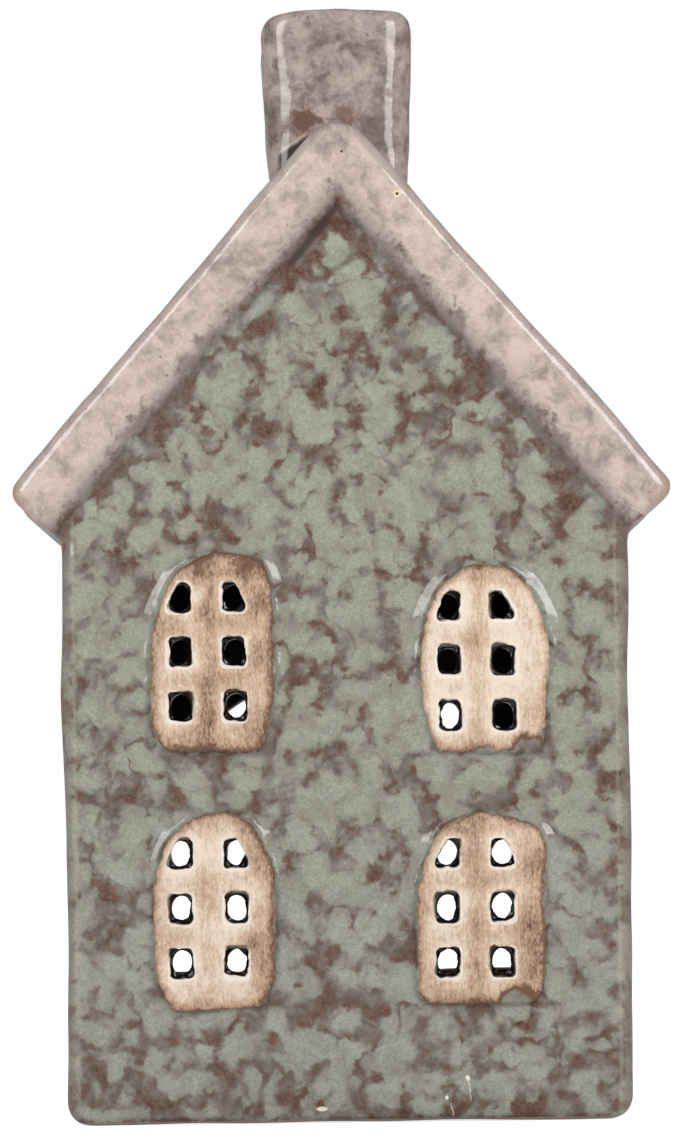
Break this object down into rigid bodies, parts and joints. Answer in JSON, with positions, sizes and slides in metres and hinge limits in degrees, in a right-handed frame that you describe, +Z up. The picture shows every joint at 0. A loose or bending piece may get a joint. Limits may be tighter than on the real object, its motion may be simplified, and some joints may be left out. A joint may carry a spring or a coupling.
{
  "type": "tealight house",
  "caption": "Glazed clay tealight house with a steep thick roof, open chimney, arched pierced front windows and an arched back opening, holding one tealight.",
  "frame": {"origin": "on the table, midway between the two eave tips and midway between the front and back verges", "axes": "+X to the right as seen from the front, +Y towards the back, +Z up; the front with the windows faces -Y"},
  "size_m": [0.1306, 0.08, 0.226],
  "materials": {
    "wall_glaze": "gloss",
    "roof_glaze": "gloss",
    "bare_clay": "matte",
    "cup_metal": "satin",
    "wax": "satin",
    "wick_cotton": "matte",
    "sustainer_metal": "satin"
  },
  "bodies": {
    "house": {"front_wall": "wall_glaze", "back_wall": "wall_glaze", "left_wall": "wall_glaze", "right_wall": "wall_glaze", "floor_plate": "wall_glaze", "roof_left": "roof_glaze", "roof_right": "roof_glaze", "chimney": "roof_glaze", "window_upper_left": "bare_clay", "window_upper_right": "bare_clay", "window_lower_left": "bare_clay", "window_lower_right": "bare_clay"},
    "cup": {"tealight_cup": "cup_metal"},
    "candle": {"candle_wax": "wax", "wick": "wick_cotton", "wick_sustainer": "sustainer_metal"}
  },
  "joints": [
    {"name": "tealight_out", "type": "slide", "parent": "house", "child": "cup", "axis": [0, 0.6947, 0.7193], "range_m": [0, 0.101]},
    {"name": "candle_lift", "type": "slide", "parent": "cup", "child": "candle", "axis": [0, 0, 1], "range_m": [0, 0.018]}
  ]
}
